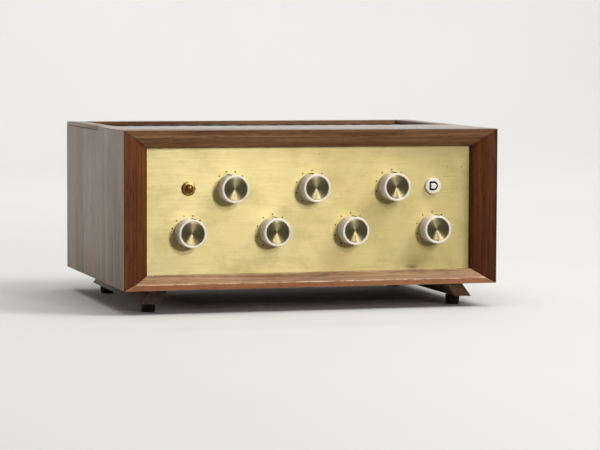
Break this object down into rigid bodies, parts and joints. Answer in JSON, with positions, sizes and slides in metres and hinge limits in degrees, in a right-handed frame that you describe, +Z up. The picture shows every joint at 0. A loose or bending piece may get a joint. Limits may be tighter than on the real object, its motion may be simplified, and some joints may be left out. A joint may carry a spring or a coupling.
{
  "type": "integrated amplifier",
  "caption": "Wood-cased integrated amplifier with a bevelled frame, recessed brass faceplate, turning control knobs, pilot lamp, mains switch and top grille; amplifies and controls audio.",
  "frame": {"origin": "centre of the footprint at floor level, under the feet", "axes": "+X to the right seen from the front, +Y from the front to the back, +Z up; the faceplate faces -Y"},
  "size_m": [0.365, 0.2734, 0.171],
  "materials": {
    "walnut": "satin oiled, open grain",
    "faceplate_brass": "horizontally brushed, slightly tarnished",
    "knob_ivory": "moulded, glossy, slightly yellowed",
    "inlay_spun": "turned in fine circles",
    "plated": "zinc plated",
    "chassis_steel": "grey, satin",
    "grille": "black, matt",
    "rubber": "matt",
    "phenolic": "brown laminate",
    "lamp_gilt": "polished gilt",
    "jewel_glass": "amber, polished",
    "transformer_iron": "dark lacquer",
    "black_plastic": "moulded"
  },
  "bodies": {
    "case": {"case_side_left": "walnut", "case_side_right": "walnut", "case_top": "walnut", "case_bottom": "walnut", "vent_rail_left": "walnut", "vent_rail_right": "walnut", "vent_rail_rear": "walnut", "bezel_left": "walnut", "bezel_right": "walnut", "bezel_top": "walnut", "bezel_bottom": "walnut", "runner_left": "walnut", "runner_right": "walnut", "foot_front_left": "rubber", "foot_rear_left": "rubber", "foot_front_right": "rubber", "foot_rear_right": "rubber", "vent_grille": "grille", "faceplate": "faceplate_brass", "chassis": "chassis_steel", "rear_panel": "chassis_steel", "wafer_switch_function": "plated", "potentiometer_filter": "plated", "potentiometer_balance": "plated", "wafer_switch_selector": "plated", "potentiometer_bass": "plated", "potentiometer_treble": "plated", "potentiometer_volume": "plated", "lamp_bezel": "lamp_gilt", "lamp_jewel": "jewel_glass", "switch_collar": "knob_ivory", "switch_body": "black_plastic", "mains_transformer": "transformer_iron", "output_transformer_left": "transformer_iron", "output_transformer_right": "transformer_iron", "mains_inlet": "black_plastic", "speaker_terminals": "phenolic", "input_sockets": "plated"},
    "knob_function_body": {"knob_function": "knob_ivory", "knob_inlay_function": "inlay_spun", "shaft_function": "plated"},
    "knob_filter_body": {"knob_filter": "knob_ivory", "knob_inlay_filter": "inlay_spun", "shaft_filter": "plated"},
    "knob_balance_body": {"knob_balance": "knob_ivory", "knob_inlay_balance": "inlay_spun", "shaft_balance": "plated"},
    "knob_selector_body": {"knob_selector": "knob_ivory", "knob_inlay_selector": "inlay_spun", "shaft_selector": "plated"},
    "knob_bass_body": {"knob_bass": "knob_ivory", "knob_inlay_bass": "inlay_spun", "shaft_bass": "plated"},
    "knob_treble_body": {"knob_treble": "knob_ivory", "knob_inlay_treble": "inlay_spun", "shaft_treble": "plated"},
    "knob_volume_body": {"knob_volume": "knob_ivory", "knob_inlay_volume": "inlay_spun", "shaft_volume": "plated"},
    "mains_switch_dolly": {"switch_dolly": "knob_ivory"}
  },
  "joints": [
    {"name": "function_turn", "type": "hinge", "parent": "case", "child": "knob_function_body", "pos_m": [-0.0776, -0.11915, 0.1165], "axis": [0, 1, 0], "range_deg": [-30, 60]},
    {"name": "filter_turn", "type": "hinge", "parent": "case", "child": "knob_filter_body", "pos_m": [0.0014, -0.11915, 0.1165], "axis": [0, 1, 0], "range_deg": [-133, 155]},
    {"name": "balance_turn", "type": "hinge", "parent": "case", "child": "knob_balance_body", "pos_m": [0.0804, -0.11915, 0.1165], "axis": [0, 1, 0], "range_deg": [-144, 144]},
    {"name": "selector_turn", "type": "hinge", "parent": "case", "child": "knob_selector_body", "pos_m": [-0.1185, -0.11915, 0.0756], "axis": [0, 1, 0], "range_deg": [-90, 30]},
    {"name": "bass_turn", "type": "hinge", "parent": "case", "child": "knob_bass_body", "pos_m": [-0.0369, -0.11915, 0.0756], "axis": [0, 1, 0], "range_deg": [-144, 144]},
    {"name": "treble_turn", "type": "hinge", "parent": "case", "child": "knob_treble_body", "pos_m": [0.0397, -0.11915, 0.0756], "axis": [0, 1, 0], "range_deg": [-150, 138]},
    {"name": "volume_turn", "type": "hinge", "parent": "case", "child": "knob_volume_body", "pos_m": [0.1213, -0.11915, 0.0756], "axis": [0, 1, 0], "range_deg": [-155, 133]},
    {"name": "mains_switch_rock", "type": "hinge", "parent": "case", "child": "mains_switch_dolly", "pos_m": [0.1213, -0.11925, 0.1165], "axis": [0, 0, 1], "range_deg": [0, 16]}
  ]
}
